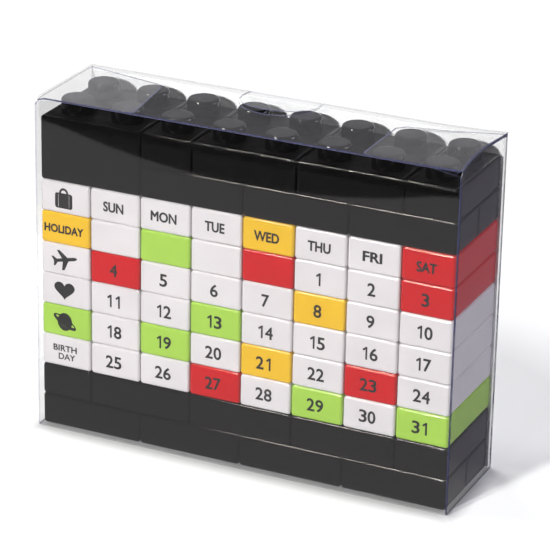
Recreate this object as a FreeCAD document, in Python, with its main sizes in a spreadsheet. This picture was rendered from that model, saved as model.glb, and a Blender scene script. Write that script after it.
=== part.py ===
# Perpetual desk calendar stacked from building bricks, standing in a clear film case.
# Lengths are millimetres. Origin: middle of the case's underside. +Z is up, the dates face -Y.
import FreeCAD, Part
import os
import Sketcher

# Driving sizes. Each one is a cell of the sheet under the same name.
SIZES = {
    # bricks
    "Pitch": 16.0,        # from stud to stud
    "Course": 9.6,        # height of a brick without its studs
    "Play": 0.2,          # gap between neighbouring bricks
    "BrickEdge": 0.4,     # bevel of a brick's outer edges
    "Skin": 1.5,          # side wall of a brick
    "Roof": 1.6,          # wall under the studs
    "StudRadius": 4.7,
    "StudRise": 4.5,
    "StudEdge": 0.7,      # bevel round the top of the studs left in view
    "PinRadius": 3.25,    # pin that stands between two studs
    "TubeRadius": 6.55,   # tube that stands between four studs
    "TubeBore": 5.0,
    # film case
    "Film": 0.3,
    "Floor": 0.6,         # two films glued one on the other
    "SideGap": 0.7,       # from the stack's outer grid line to a side wall
    "DepthGap": 0.9,      # the same to the front and back walls
    "SeamWidth": 12.0,    # strip that closes the four walls, glued inside the back wall
    "DustLift": 0.15,     # dust flaps above the studs
    "LidLift": 0.15,      # lid above the dust flaps
    "RimRise": 0.2,       # front wall above the lid's underside
    "LidCorner": 1.5,
    "MoonRadius": 12.7,   # half-moon tongue at the back fold
    "MoonGap": 0.4,       # slit between the tongue and the lid
    "TuckDrop": 8.0,
    "TuckGap": 0.15,      # tuck flap in front of the bricks
    "TuckEndGap": 1.0,
    "TuckCorner": 4.0,
    "DustReach": 30.2,
    "DustTaper": 5.8,     # the tip is narrower than the fold by this, at the back
    "DustFrontGap": 1.7,
    "DustBackGap": 0.2,
    "DustCorner": 2.5,
    # backing card
    "CardThick": 0.3,
    "CardGap": 0.25,      # card behind the bricks
    "CardEndGap": 0.4,
    "CardTopGap": 0.2,    # card below the stud tops
}

COLUMNS = 8               # studs across
DEPTH = 2                 # studs front to back
BASE_COURSES = 2          # black courses under the dates
DATE_COURSES = 6
CROWN_COURSES = 2         # black courses above the dates
VIEW_STUD_SIDES = 24      # round studs, pins and tubes are prisms, which keeps their facets few
HIDDEN_STUD_SIDES = 10
PIN_SIDES = 6
TUBE_SIDES = 10
LEFT_COLUMN = ("suitcase_brick", "holiday_brick", "plane_brick", "heart_brick", "planet_brick",
               "birthday_brick")
WEEKDAYS = ("sun", "mon", "tue", "wed", "thu", "fri", "sat")
BLANKS = 4                # blank bricks before the first day
DAYS = 31
UP = FreeCAD.Vector(0, 0, 1)
BACK = FreeCAD.Vector(0, 1, 0)

doc = FreeCAD.newDocument("BrickCalendar")
sheet = doc.addObject("Spreadsheet::Sheet", "Sizes")
for line, (name, value) in enumerate(SIZES.items(), start=1):
    sheet.set("A%d" % line, name)
    sheet.set("B%d" % line, str(value))
    sheet.setAlias("B%d" % line, name)
doc.recompute()

# Places that several pieces share, as expressions on the sheet.
COURSES = BASE_COURSES + DATE_COURSES + CROWN_COURSES
STUD_TOP = "(Sizes.Floor + %d * Sizes.Course + Sizes.StudRise)" % COURSES
CARD_TOP = "(%s - Sizes.CardTopGap)" % STUD_TOP
DUST_SEAT = "(%s + Sizes.DustLift)" % STUD_TOP
LID_SEAT = "(%s + Sizes.Film + Sizes.LidLift)" % DUST_SEAT
INNER_HALF_WIDTH = "(%d * Sizes.Pitch / 2 + Sizes.SideGap)" % COLUMNS
INNER_HALF_DEPTH = "(%d * Sizes.Pitch / 2 + Sizes.DepthGap)" % DEPTH
OUTER_HALF_WIDTH = "(%s + Sizes.Film)" % INNER_HALF_WIDTH
OUTER_HALF_DEPTH = "(%s + Sizes.Film)" % INNER_HALF_DEPTH
BRICK_HALF_DEPTH = "(%d * Sizes.Pitch / 2 - Sizes.Play / 2)" % DEPTH
TUCK_INNER = "(%s + Sizes.TuckGap)" % BRICK_HALF_DEPTH
TUCK_OUTER = "(%s + Sizes.Film)" % TUCK_INNER

sub_parts = []


def bind(item, sizes):
    """Ties properties of an object to expressions on the sheet."""
    for name, expression in sizes.items():
        item.setExpression(name, expression)


def place(item, x="0", y="0", z="0"):
    """Ties an object's position to expressions on the sheet."""
    bind(item, {"Placement.Base.x": x, "Placement.Base.y": y, "Placement.Base.z": z})


def feature(body, kind, name, sizes, x="0", y="0", z="0"):
    """Adds a primitive feature to a body, sized and placed from the sheet."""
    item = body.newObject("PartDesign::" + kind, name)
    bind(item, sizes)
    place(item, x, y, z)
    return item


def box(body, kind, name, low, high):
    """Adds a box feature that runs from one corner to the opposite one."""
    sizes = {side: "(%s) - (%s)" % (top, bottom)
             for side, bottom, top in zip(("Length", "Width", "Height"), low, high)}
    return feature(body, kind, name, sizes, *low)


def new_body(label):
    body = doc.addObject("PartDesign::Body", label)
    body.Label = label
    return body


def edges_where(item, test, along=None):
    """Names the edges of a feature whose two ends both pass a test, and that run along a direction."""
    names = []
    for number, edge in enumerate(item.Shape.Edges, start=1):
        start, end = [vertex.Point for vertex in edge.Vertexes]
        aligned = along is None or (end - start).cross(along).Length < Part.Precision.confusion()
        if aligned and test(start) and test(end):
            names.append("Edge%d" % number)
    return names


def dress(body, kind, base, edges, prop, expression):
    """Adds a fillet or a chamfer to named edges of a feature."""
    item = body.newObject("PartDesign::" + kind, kind)
    item.Base = (base, edges)
    item.setExpression(prop, expression)
    return item


# Bricks

def add_studs(body, columns, rows, top, in_view):
    """Studs over every cell. Those left in view have more sides and a bevelled top."""
    for column in range(columns):
        for row in range(rows):
            stud = feature(body, "AdditivePrism", "Stud",
                           {"Circumradius": "Sizes.StudRadius", "Height": "Sizes.StudRise"},
                           "%g * Sizes.Pitch" % (column + 0.5), "%g * Sizes.Pitch" % (row + 0.5), top)
            stud.Polygon = VIEW_STUD_SIDES if in_view else HIDDEN_STUD_SIDES
    if in_view:
        doc.recompute()
        highest = stud.Shape.BoundBox.ZMax - Part.Precision.confusion()
        rims = edges_where(stud, lambda point: point.z > highest)
        dress(body, "Chamfer", stud, rims, "Size", "Sizes.StudEdge")


def add_grip(body, columns, rows, depth):
    """Pin between two studs of the brick below, or tube between four, down to the rim."""
    middle = ("%g * Sizes.Pitch" % (columns / 2), "%g * Sizes.Pitch" % (rows / 2))

    def prism(kind, name, radius, sides):
        item = feature(body, kind, name, {"Circumradius": radius, "Height": depth}, *middle)
        item.Polygon = sides

    if columns == rows:
        prism("AdditivePrism", "Tube", "Sizes.TubeRadius", TUBE_SIDES)
        prism("SubtractivePrism", "TubeBore", "Sizes.TubeBore", TUBE_SIDES)
    else:
        prism("AdditivePrism", "Pin", "Sizes.PinRadius", PIN_SIDES)


def brick(label, column, row, course, columns, rows, courses=1, in_view=False):
    """One hollow brick. Its cells start at a column from the left, a row from the front and a course."""
    body = new_body(label)
    top = "%d * Sizes.Course" % courses
    hollow_top = "%s - Sizes.Roof" % top
    far = ["%d * Sizes.Pitch - Sizes.Play / 2" % cells for cells in (columns, rows)]
    block = box(body, "AdditiveBox", "Block", ("Sizes.Play / 2", "Sizes.Play / 2", "0"), (*far, top))
    doc.recompute([block])
    standing = edges_where(block, lambda point: True, UP)
    upper = edges_where(block, lambda point: point.z > block.Shape.CenterOfMass.z)
    dress(body, "Chamfer", block, standing + upper, "Size", "Sizes.BrickEdge")
    add_studs(body, columns, rows, top, in_view)
    near = "Sizes.Play / 2 + Sizes.Skin"
    box(body, "SubtractiveBox", "Hollow", (near, near, "0"),
        (*["%s - Sizes.Skin" % side for side in far], hollow_top))
    add_grip(body, columns, rows, hollow_top)
    place(body, "(%d - %d / 2) * Sizes.Pitch" % (column, COLUMNS),
          "(%d - %d / 2) * Sizes.Pitch" % (row, DEPTH), "Sizes.Floor + %d * Sizes.Course" % course)
    return body


def single(label, *cells, **options):
    sub_parts.append(brick(label, *cells, **options))


def group(label, bricks):
    """Bricks of one black course, kept as separate solids in one node."""
    item = doc.addObject("Part::Compound", label)
    item.Label = label
    item.Links = bricks
    sub_parts.append(item)


def base_courses():
    """Two black courses whose joints are staggered by one stud."""
    group("base_course_lower",
          [brick("base_lower_%d_%d" % (column, row), column, row, 0, 2, 1)
           for column in range(0, COLUMNS, 2) for row in range(DEPTH)])
    group("base_course_upper",
          [brick("base_upper_%d" % column, column, 0, 1, columns, DEPTH)
           for column, columns in ((0, 1), (1, 2), (3, 2), (5, 2), (7, 1))])


def date_courses():
    """Bricks of the month sheet, from the top course down: one left brick and seven days each."""
    days = ["%s_brick" % day for day in WEEKDAYS]
    days += ["blank_brick_%d" % number for number in range(1, BLANKS + 1)]
    days += ["day_brick_%02d" % number for number in range(1, DAYS + 1)]
    for line, left in enumerate(LEFT_COLUMN):
        course = BASE_COURSES + DATE_COURSES - 1 - line
        single(left, 0, 0, course, 1, DEPTH)
        for weekday in range(len(WEEKDAYS)):
            single(days[line * len(WEEKDAYS) + weekday], weekday + 1, 0, course, 1, DEPTH)


def crown_courses():
    """Two black courses over the weekdays and a tall block at the left end."""
    lower = BASE_COURSES + DATE_COURSES
    single("corner_block", 0, 0, lower, 2, DEPTH, courses=CROWN_COURSES, in_view=True)
    group("crown_course_lower",
          [brick("crown_lower_%d_%d" % (column, row), column, row, lower, 2, 1)
           for column in range(2, COLUMNS, 2) for row in range(DEPTH)])
    group("crown_course_upper",
          [brick("crown_upper_%d" % column, column, 0, lower + 1, columns, DEPTH, in_view=True)
           for column, columns in ((2, 1), (3, 2), (5, 2), (7, 1))])


# Clear film case

def case_shell():
    """Walls and floor folded from one film, the glued seam, and the tongue at the back fold."""
    body = new_body("case_shell")
    rim = "%s + Sizes.RimRise" % LID_SEAT
    box(body, "AdditiveBox", "Outside", ("-" + OUTER_HALF_WIDTH, "-" + OUTER_HALF_DEPTH, "0"),
        (OUTER_HALF_WIDTH, OUTER_HALF_DEPTH, rim))
    box(body, "SubtractiveBox", "Inside", ("-" + INNER_HALF_WIDTH, "-" + INNER_HALF_DEPTH, "Sizes.Floor"),
        (INNER_HALF_WIDTH, INNER_HALF_DEPTH, rim))
    box(body, "SubtractiveBox", "SideTops", ("-" + OUTER_HALF_WIDTH, "-" + INNER_HALF_DEPTH, DUST_SEAT),
        (OUTER_HALF_WIDTH, INNER_HALF_DEPTH, rim))
    box(body, "SubtractiveBox", "BackTop", ("-" + OUTER_HALF_WIDTH, INNER_HALF_DEPTH, LID_SEAT),
        (OUTER_HALF_WIDTH, OUTER_HALF_DEPTH, rim))
    box(body, "AdditiveBox", "Seam",
        ("-" + INNER_HALF_WIDTH, "%s - Sizes.Film" % INNER_HALF_DEPTH, "Sizes.Floor"),
        ("-%s + Sizes.SeamWidth" % INNER_HALF_WIDTH, INNER_HALF_DEPTH, CARD_TOP))
    tongue = feature(body, "AdditiveCylinder", "Tongue",
                     {"Radius": "Sizes.MoonRadius", "Height": "Sizes.Film"}, "0", OUTER_HALF_DEPTH, LID_SEAT)
    tongue.Angle = 180
    tongue.Placement.Rotation = FreeCAD.Rotation(UP, 180)
    sub_parts.append(body)


def case_lid():
    """Lid that folds up about the top of the back wall, cut away round the tongue."""
    body = new_body("case_lid")
    plate = box(body, "AdditiveBox", "Plate", ("-" + OUTER_HALF_WIDTH, "-" + TUCK_OUTER, LID_SEAT),
                (OUTER_HALF_WIDTH, OUTER_HALF_DEPTH, "%s + Sizes.Film" % LID_SEAT))
    doc.recompute([plate])
    corners = edges_where(plate, lambda point: point.y < 0, UP)
    dress(body, "Fillet", plate, corners, "Radius", "Sizes.LidCorner")
    moon = {"Radius": "Sizes.MoonRadius + Sizes.MoonGap", "Height": "Sizes.Film"}
    feature(body, "SubtractiveCylinder", "MoonCut", moon, "0", OUTER_HALF_DEPTH, LID_SEAT)
    sub_parts.append(body)


def tuck_flap():
    """Flap along the lid's front edge, down between the front wall and the bricks."""
    body = new_body("tuck_flap")
    half = "(%s - Sizes.TuckEndGap)" % INNER_HALF_WIDTH
    plate = box(body, "AdditiveBox", "Plate",
                ("-" + half, "-" + TUCK_OUTER, "%s - Sizes.TuckDrop" % LID_SEAT),
                (half, "-" + TUCK_INNER, LID_SEAT))
    doc.recompute([plate])
    corners = edges_where(plate, lambda point: point.z < plate.Shape.CenterOfMass.z, BACK)
    dress(body, "Fillet", plate, corners, "Radius", "Sizes.TuckCorner")
    sub_parts.append(body)


def dust_flap(label, side):
    """Flap folded in from the top of a side wall. Side is -1 at the left and 1 at the right."""
    body = new_body(label)
    plane = next(item for item in body.Origin.OriginFeatures if item.Role == "XY_Plane")
    outline = body.newObject("Sketcher::SketchObject", "Outline")
    outline.AttachmentSupport = (plane, "")
    outline.MapMode = "FlatFace"
    reach = SIZES["DustReach"]
    draft = ((0, -reach), (reach, -reach), (reach, 0), (0, reach))
    corners = [FreeCAD.Vector(-side * x, y, 0) for x, y in draft]
    for start, end in zip(corners, corners[1:] + corners[:1]):
        outline.addGeometry(Part.LineSegment(start, end), False)
    first, second = 1, 2
    for line in range(4):
        outline.addConstraint(Sketcher.Constraint("Coincident", line, second, (line + 1) % 4, first))
    front, tip, fold = 0, 1, 3
    outline.addConstraint(Sketcher.Constraint("Horizontal", front))
    outline.addConstraint(Sketcher.Constraint("Vertical", tip))
    outline.addConstraint(Sketcher.Constraint("Vertical", fold))
    outline.addConstraint(Sketcher.Constraint("PointOnObject", fold, first, -2))
    origin = (-1, 1)
    across = (fold, second, front, second) if side < 0 else (front, second, fold, second)
    named = (("Reach", "DistanceX", across, "Sizes.DustReach"),
             ("Front", "DistanceY", (fold, second, *origin), "%s - Sizes.DustFrontGap" % INNER_HALF_DEPTH),
             ("Back", "DistanceY", (*origin, fold, first), "%s - Sizes.DustBackGap" % INNER_HALF_DEPTH),
             ("Tip", "DistanceY", (*origin, tip, second),
              "%s - Sizes.DustBackGap - Sizes.DustTaper" % INNER_HALF_DEPTH))
    for name, kind, points, expression in named:
        number = outline.addConstraint(Sketcher.Constraint(kind, *points, reach))
        outline.renameConstraint(number, name)
        outline.setExpression("Constraints." + name, expression)
    plate = body.newObject("PartDesign::Pad", "Plate")
    plate.Profile = outline
    plate.setExpression("Length", "Sizes.Film")
    doc.recompute([outline, plate])
    tips = edges_where(plate, lambda point: -side * point.x > reach / 2, UP)
    dress(body, "Chamfer", plate, tips, "Size", "Sizes.DustCorner")
    place(body, "%d * %s" % (side, OUTER_HALF_WIDTH), "0", DUST_SEAT)
    sub_parts.append(body)


def backing_card():
    """Blank card between the bricks and the back wall."""
    body = new_body("backing_card")
    half = "(%s - Sizes.CardEndGap)" % INNER_HALF_WIDTH
    front = "%s + Sizes.CardGap" % BRICK_HALF_DEPTH
    box(body, "AdditiveBox", "Sheet", ("-" + half, front, "Sizes.Floor"),
        (half, "%s + Sizes.CardThick" % front, CARD_TOP))
    sub_parts.append(body)


base_courses()
date_courses()
crown_courses()
case_shell()
case_lid()
tuck_flap()
dust_flap("dust_flap_left", -1)
dust_flap("dust_flap_right", 1)
backing_card()
doc.recompute()

for item in doc.Objects:
    if "Invalid" in item.State or "Error" in item.State:
        raise RuntimeError("%s was not made: %s" % (item.Label, item.State))
for item in sub_parts:
    if item.Shape.isNull() or not item.Shape.isValid() or not item.Shape.Solids:
        raise RuntimeError("%s has no sound solid" % item.Label)

os.makedirs("parts", exist_ok=True)
for item in sub_parts:
    item.Shape.exportStep("parts/%s.step" % item.Label)
print("%d sub-parts, %d solids" % (len(sub_parts), sum(len(item.Shape.Solids) for item in sub_parts)))
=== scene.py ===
"""Perpetual desk calendar stacked from building bricks, standing in a clear film case.

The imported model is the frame: every piece takes its place from it. Lengths are metres, +Z is up
and the dates face -Y. The panel in the sidebar lists the steps in the order in which they run.
"""
import math

import bmesh
import bpy
from bpy.props import FloatProperty, FloatVectorProperty, IntProperty, PointerProperty
from mathutils import Matrix, Vector


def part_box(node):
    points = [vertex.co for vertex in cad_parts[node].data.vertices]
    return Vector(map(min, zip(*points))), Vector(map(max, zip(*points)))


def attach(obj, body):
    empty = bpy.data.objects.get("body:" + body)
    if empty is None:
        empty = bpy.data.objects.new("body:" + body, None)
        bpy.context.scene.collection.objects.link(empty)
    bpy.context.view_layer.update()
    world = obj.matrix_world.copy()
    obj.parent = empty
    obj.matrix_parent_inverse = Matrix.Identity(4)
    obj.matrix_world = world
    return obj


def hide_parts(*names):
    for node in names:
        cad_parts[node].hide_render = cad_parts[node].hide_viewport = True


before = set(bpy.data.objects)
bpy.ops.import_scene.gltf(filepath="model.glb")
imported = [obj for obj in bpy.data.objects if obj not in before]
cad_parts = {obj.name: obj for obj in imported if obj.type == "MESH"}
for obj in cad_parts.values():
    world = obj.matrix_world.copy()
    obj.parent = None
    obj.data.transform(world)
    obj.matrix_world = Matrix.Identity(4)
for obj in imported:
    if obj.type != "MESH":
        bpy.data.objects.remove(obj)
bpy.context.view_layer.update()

bl_info = {
    "name": "Brick calendar in a clear case",
    "version": (1, 0, 0),
    "blender": (4, 5, 0),
    "location": "3D View > Sidebar > Calendar",
    "description": "Builds a perpetual desk calendar of bricks in a film case with a tuck-in lid",
    "category": "Add Mesh",
}

MM = 0.001

# Places taken from the frame
SUN_LOW, SUN_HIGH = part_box("sun_brick")
FIRST_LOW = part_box("suitcase_brick")[0]
BLANK_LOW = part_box("blank_brick_1")[0]
CASE_LOW, CASE_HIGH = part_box("case_shell")
LID_LOW, LID_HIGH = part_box("case_lid")
TUCK_LOW, TUCK_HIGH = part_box("tuck_flap")
CARD_LOW, CARD_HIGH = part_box("backing_card")
DUST_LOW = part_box("dust_flap_left")[0]
PITCH = SUN_LOW.x - FIRST_LOW.x
COURSE = SUN_LOW.z - BLANK_LOW.z
PLAY = PITCH - (SUN_HIGH.x - SUN_LOW.x)
STUD_RISE = SUN_HIGH.z - SUN_LOW.z - COURSE
STACK_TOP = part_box("corner_block")[1].z

# What stands on the calendar's face, from the top course of dates down. Each weekday has the
# width of its print in millimetres.
LEFT_COLUMN = ("suitcase", "holiday", "plane", "heart", "planet", "birthday")
WEEKDAYS = {"sun": 6.5, "mon": 8.2, "tue": 6.2, "wed": 7.8, "thu": 7.0, "fri": 5.9, "sat": 6.1}
BLANKS = 4
DAYS = 31

# Words of the left column: letters, how narrow they are, their share of the word weight, the
# print's width and height, and its place right of and above the middle, in millimetres
WORDS = {"holiday": (("HOLIDAY", 0.85, 1.2, (12.8, 2.6), (0.0, 0.0)),),
         "birthday": (("BIRTH", 1.0, 0.75, (7.7, 2.0), (0.0, 1.1)),
                      ("DAY", 1.0, 0.75, (5.5, 2.0), (0.6, -1.5)))}

# Bricks that aren't white
RED = ("sat_brick", "blank_brick_4", "day_brick_03", "day_brick_04", "day_brick_23", "day_brick_27")
GREEN = ("blank_brick_2", "day_brick_13", "planet_brick", "day_brick_19", "day_brick_29",
         "day_brick_31")
YELLOW = ("wed_brick", "holiday_brick", "day_brick_08", "day_brick_21")

# Faces round the studs in view, the studs inside, the tubes and the pins
VIEW_SIDES, HIDDEN_SIDES, TUBE_SIDES, PIN_SIDES = 56, 20, 32, 16

# Surfaces of the film, in the order of the material slots of each piece of film
FILM_SURFACES = ("panel", "crease", "cut_edge", "soft_fold", "scuffed", "lid", "rubbed_fold")
PANEL, CREASE, CUT_EDGE, SOFT_FOLD, SCUFFED, LID_PANEL, RUBBED_FOLD = range(len(FILM_SURFACES))

LEVEL = 0.99    # a face whose normal has a part above this lies square to that axis
LEAN = 0.7      # bows at the right end are highest in front of the middle


def from_screen(red, green, blue):
    """A colour as a monitor shows it, 0 to 255, turned into linear light."""
    shares = [channel / 255 for channel in (red, green, blue)]
    return tuple(s / 12.92 if s <= 0.04045 else ((s + 0.055) / 1.055) ** 2.4 for s in shares)


def length(name, description, default):
    """A size in metres for the sidebar."""
    return FloatProperty(name=name, description=description, default=default, unit="LENGTH",
                         subtype="DISTANCE", precision=5)


def colour(name, description, *screen):
    """A colour for the sidebar, given as a monitor shows it."""
    return FloatVectorProperty(name=name, description=description, default=from_screen(*screen),
                               subtype="COLOR", min=0, max=1)


class BrickSizes(bpy.types.PropertyGroup):
    """Sizes of the bricks"""

    edge: length("Edge", "Radius of a brick's outer edges", 0.85 * MM)
    skin: length("Skin", "Side wall of a brick", 1.5 * MM)
    roof: length("Roof", "Wall under the studs", 1.6 * MM)
    stud_radius: length("Stud radius", "Radius of a stud", 4.7 * MM)
    stud_edge: length("Stud edge", "Radius round the top of a stud in view", 1.0 * MM)
    pin_radius: length("Pin radius", "Pin between two studs of the brick below", 3.25 * MM)
    tube_radius: length("Tube radius", "Tube between four studs of the brick below", 6.55 * MM)
    tube_bore: length("Tube bore", "Radius of the hole in the tube", 5.0 * MM)
    edge_steps: IntProperty(name="Edge steps", description="Faces across a rounded edge",
                            default=3, min=1, max=8)


class PrintSizes(bpy.types.PropertyGroup):
    """Sizes of the prints"""

    ink: length("Ink", "Thickness of the printed ink", 0.03 * MM)
    digit: length("Digit height", "Height of the day numbers", 3.9 * MM)
    digit_width: length("Digit width", "Width of one digit of a day number", 2.45 * MM)
    one_width: length("One width", "Width of the digit 1", 1.45 * MM)
    digit_step: length("Digit step", "From one digit to the next", 2.65 * MM)
    weekday: length("Weekday height", "Height of the weekday letters", 3.1 * MM)
    shift: length("Shift", "How far left of the brick's middle a print stands", 0.45 * MM)
    weight: FloatProperty(name="Weight", default=0.02,
                          description="What strokes gain on each side, as a share of the type size")
    word_weight: FloatProperty(name="Word weight", default=0.03,
                               description="What the strokes of words gain on each side")


class PlasticColours(bpy.types.PropertyGroup):
    """Colours of plastic, ink, card and film"""

    white: colour("White", "White bricks", 222, 217, 219)
    red: colour("Red", "Red bricks", 199, 9, 18)
    green: colour("Green", "Green bricks", 165, 206, 80)
    yellow: colour("Yellow", "Yellow bricks", 233, 186, 38)
    black: colour("Black", "Black bricks", 10, 9, 9)
    ink: colour("Ink", "Printed numbers, words and pictures", 16, 15, 16)
    card: colour("Card", "Backing card", 250, 250, 250)
    film: colour("Film", "What the clear film tints light to", 251, 251, 251)
    lid_film: colour("Lid film", "What the film of lid and flaps tints light to", 254, 254, 254)
    veil: colour("Veil", "Fine scuffs on the film", 236, 236, 240)
    crease: colour("Crease", "Pressed creases of the film", 66, 68, 94)
    cut: colour("Cut", "Cut edges of the film", 110, 112, 146)
    soft_fold: colour("Soft fold", "Folds of the film that stayed clear", 196, 196, 192)


class CaseSizes(bpy.types.PropertyGroup):
    """Sizes and bows of the film case"""

    film: length("Film", "Thickness of the film", 0.3 * MM)
    fold: length("Fold radius", "Radius of the upright folds", 0.45 * MM)
    crease: length("Crease", "Width of a pressed crease", 0.5 * MM)
    wall_bow: length("Wall bow", "How far the large walls swell outwards", 0.8 * MM)
    side_pull: length("Side pull", "How far the right wall's top is drawn in", 1.2 * MM)
    side_bend: length("Side bend", "Height over which the right wall's top bends in", 8.5 * MM)
    lid_rise: length("Lid rise", "How far the lid's right end arches up", 1.4 * MM)
    corner_rise: length("Corner rise", "How far the lid's back right corner stands up", 0.8 * MM)
    lid_sag: length("Lid sag", "How far the lid's front left corner is pressed down", 1.3 * MM)
    corner_dip: length("Corner dip", "How far the cut edge dips to the front corners", 1.5 * MM)
    dip_left: length("Left dip", "Length of the dip at the left corner", 3 * MM)
    dip_right: length("Right dip", "Length of the dip at the right corner", 8.5 * MM)
    lid_corner: length("Lid corner", "Radius of the lid's front corners", 1.5 * MM)
    tuck_spring: length("Tuck spring", "How far the tuck flap's lower edge springs out", 0.45 * MM)
    tuck_corner: length("Tuck corner", "Radius of the tuck flap's lower corners", 4 * MM)
    dust_corner: length("Dust corner", "Cut corners of the dust flaps' tips", 2.5 * MM)
    dust_taper: length("Dust taper", "How much narrower a dust flap's tip is", 5.8 * MM)
    dust_skew: length("Dust skew", "How far the left dust flap's tip slants", 3.5 * MM)
    moon: length("Half-moon", "Radius of the tongue at the back fold", 11.6 * MM)
    moon_gap: length("Slit", "Slit round the tongue", 0.4 * MM)
    moon_shift: length("Half-moon shift", "Tongue's centre left of the middle", 2.2 * MM)
    moon_depth: length("Half-moon depth", "Tongue's centre in front of the fold", 3.9 * MM)
    moon_lift: length("Half-moon lift", "How far the tongue's tip stands up", 1.3 * MM)
    seam: length("Seam", "Width of the glued strip inside the back wall", 12 * MM)


class StageSettings(bpy.types.PropertyGroup):
    """Camera, lamps, floor and room"""

    azimuth: FloatProperty(name="Azimuth", description="Camera to the right of the front",
                           default=math.radians(24.628), subtype="ANGLE")
    elevation: FloatProperty(name="Elevation", description="Camera above the floor",
                             default=math.radians(22.488), subtype="ANGLE")
    roll: FloatProperty(name="Roll", description="Turn of the camera about its line of sight",
                        default=math.radians(1.159), subtype="ANGLE")
    target: FloatVectorProperty(name="Target", description="What the camera looks at",
                                default=(3.096 * MM, 0, 54.577 * MM), subtype="TRANSLATION")
    distance: length("Distance", "From the camera to its target", 837.3 * MM)
    lens: FloatProperty(name="Lens", description="Focal length on a 36 mm sensor",
                        default=192.57, unit="CAMERA")
    key_power: FloatProperty(name="Key power", description="Lamp in front", default=15.8,
                             unit="POWER")
    overhead_power: FloatProperty(name="Overhead power", default=7.0, unit="POWER",
                                  description="Long softbox overhead, not seen in reflections")
    strip_power: FloatProperty(name="Strip power", default=17.0, unit="POWER",
                               description="Softbox above the front, shows in reflections only")
    fill_power: FloatProperty(name="Fill power", description="Soft light at the right", default=5.0,
                              unit="POWER")
    room: FloatProperty(name="Room", description="Soft light from all round", default=0.05)
    backdrop: FloatProperty(name="Backdrop", default=0.42,
                            description="Brightness of the room behind, in reflections")
    floor_near: FloatProperty(name="Floor in front", default=0.45,
                              description="Brightness of the floor in front, in reflections")
    # Painted shade: the floor behind is dimmer in reflections, where the object's shadow falls
    floor_far: FloatProperty(name="Floor behind", default=0.26,
                             description="Brightness of the floor behind, in reflections")
    floor_edge: length("Floor edge", "Where the floor ends in front", -256 * MM)
    # Painted shade: the floor's colour close to the object is darker, standing in for the object's
    # contact shadow
    floor_shaded: FloatProperty(name="Floor under the object", default=0.38,
                                description="How pale the floor is close to the object")
    floor_open: FloatProperty(name="Open floor", default=0.7,
                              description="How pale the floor is in the open")


def active_piece(name):
    """Names the object that an operator has just made."""
    item = bpy.context.object
    item.name = name
    item.data.name = name
    return item


def select_only(*items):
    """Selects these objects and nothing else, and makes the first one active."""
    bpy.ops.object.select_all(action="DESELECT")
    for item in items:
        item.select_set(True)
    bpy.context.view_layer.objects.active = items[0]


def apply_place(item):
    """Leaves the object at the origin, with its place in its mesh."""
    select_only(item)
    bpy.ops.object.transform_apply(location=True, rotation=True, scale=True)


def edit(item, kind):
    """Opens an object in edit mode with nothing selected. Kind is VERT, EDGE or FACE."""
    select_only(item)
    bpy.ops.object.mode_set(mode="EDIT")
    bpy.ops.mesh.select_mode(type=kind)
    bpy.ops.mesh.select_all(action="DESELECT")
    return bmesh.from_edit_mesh(item.data)


def choose(item, mesh, elements, test):
    """Selects the faces or edges that pass a test."""
    for element in elements:
        element.select_set(bool(test(element)))
    mesh.select_flush_mode()
    bmesh.update_edit_mesh(item.data)


def close(item):
    """Leaves edit mode."""
    bpy.ops.object.mode_set(mode="OBJECT")
    return item


def apply_modifier(item, kind, **settings):
    """Adds a modifier and applies it."""
    select_only(item)
    bpy.ops.object.modifier_add(type=kind)
    modifier = item.modifiers[-1]
    for key, value in settings.items():
        setattr(modifier, key, value)
    bpy.ops.object.modifier_apply(modifier=modifier.name)


def join(name, pieces):
    """Makes one object of several."""
    select_only(*pieces)
    if len(pieces) > 1:
        bpy.ops.object.join()
    return active_piece(name)


def smooth(item, degrees=35.0):
    """Smooth shading up to an angle, with normals that keep the large faces flat."""
    select_only(item)
    bpy.ops.object.shade_smooth_by_angle(angle=math.radians(degrees))
    apply_modifier(item, "WEIGHTED_NORMAL", keep_sharp=True)


def paint(item, *materials):
    """Gives an object these materials, the first one all over a new mesh."""
    item.data.materials.clear()
    for material in materials:
        item.data.materials.append(material)


def finish(item, body, nodes=()):
    """Ties a finished piece to its body and the nodes that it stands for."""
    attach(item, body)
    if nodes:
        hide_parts(*nodes)
    return item


# Materials

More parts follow.
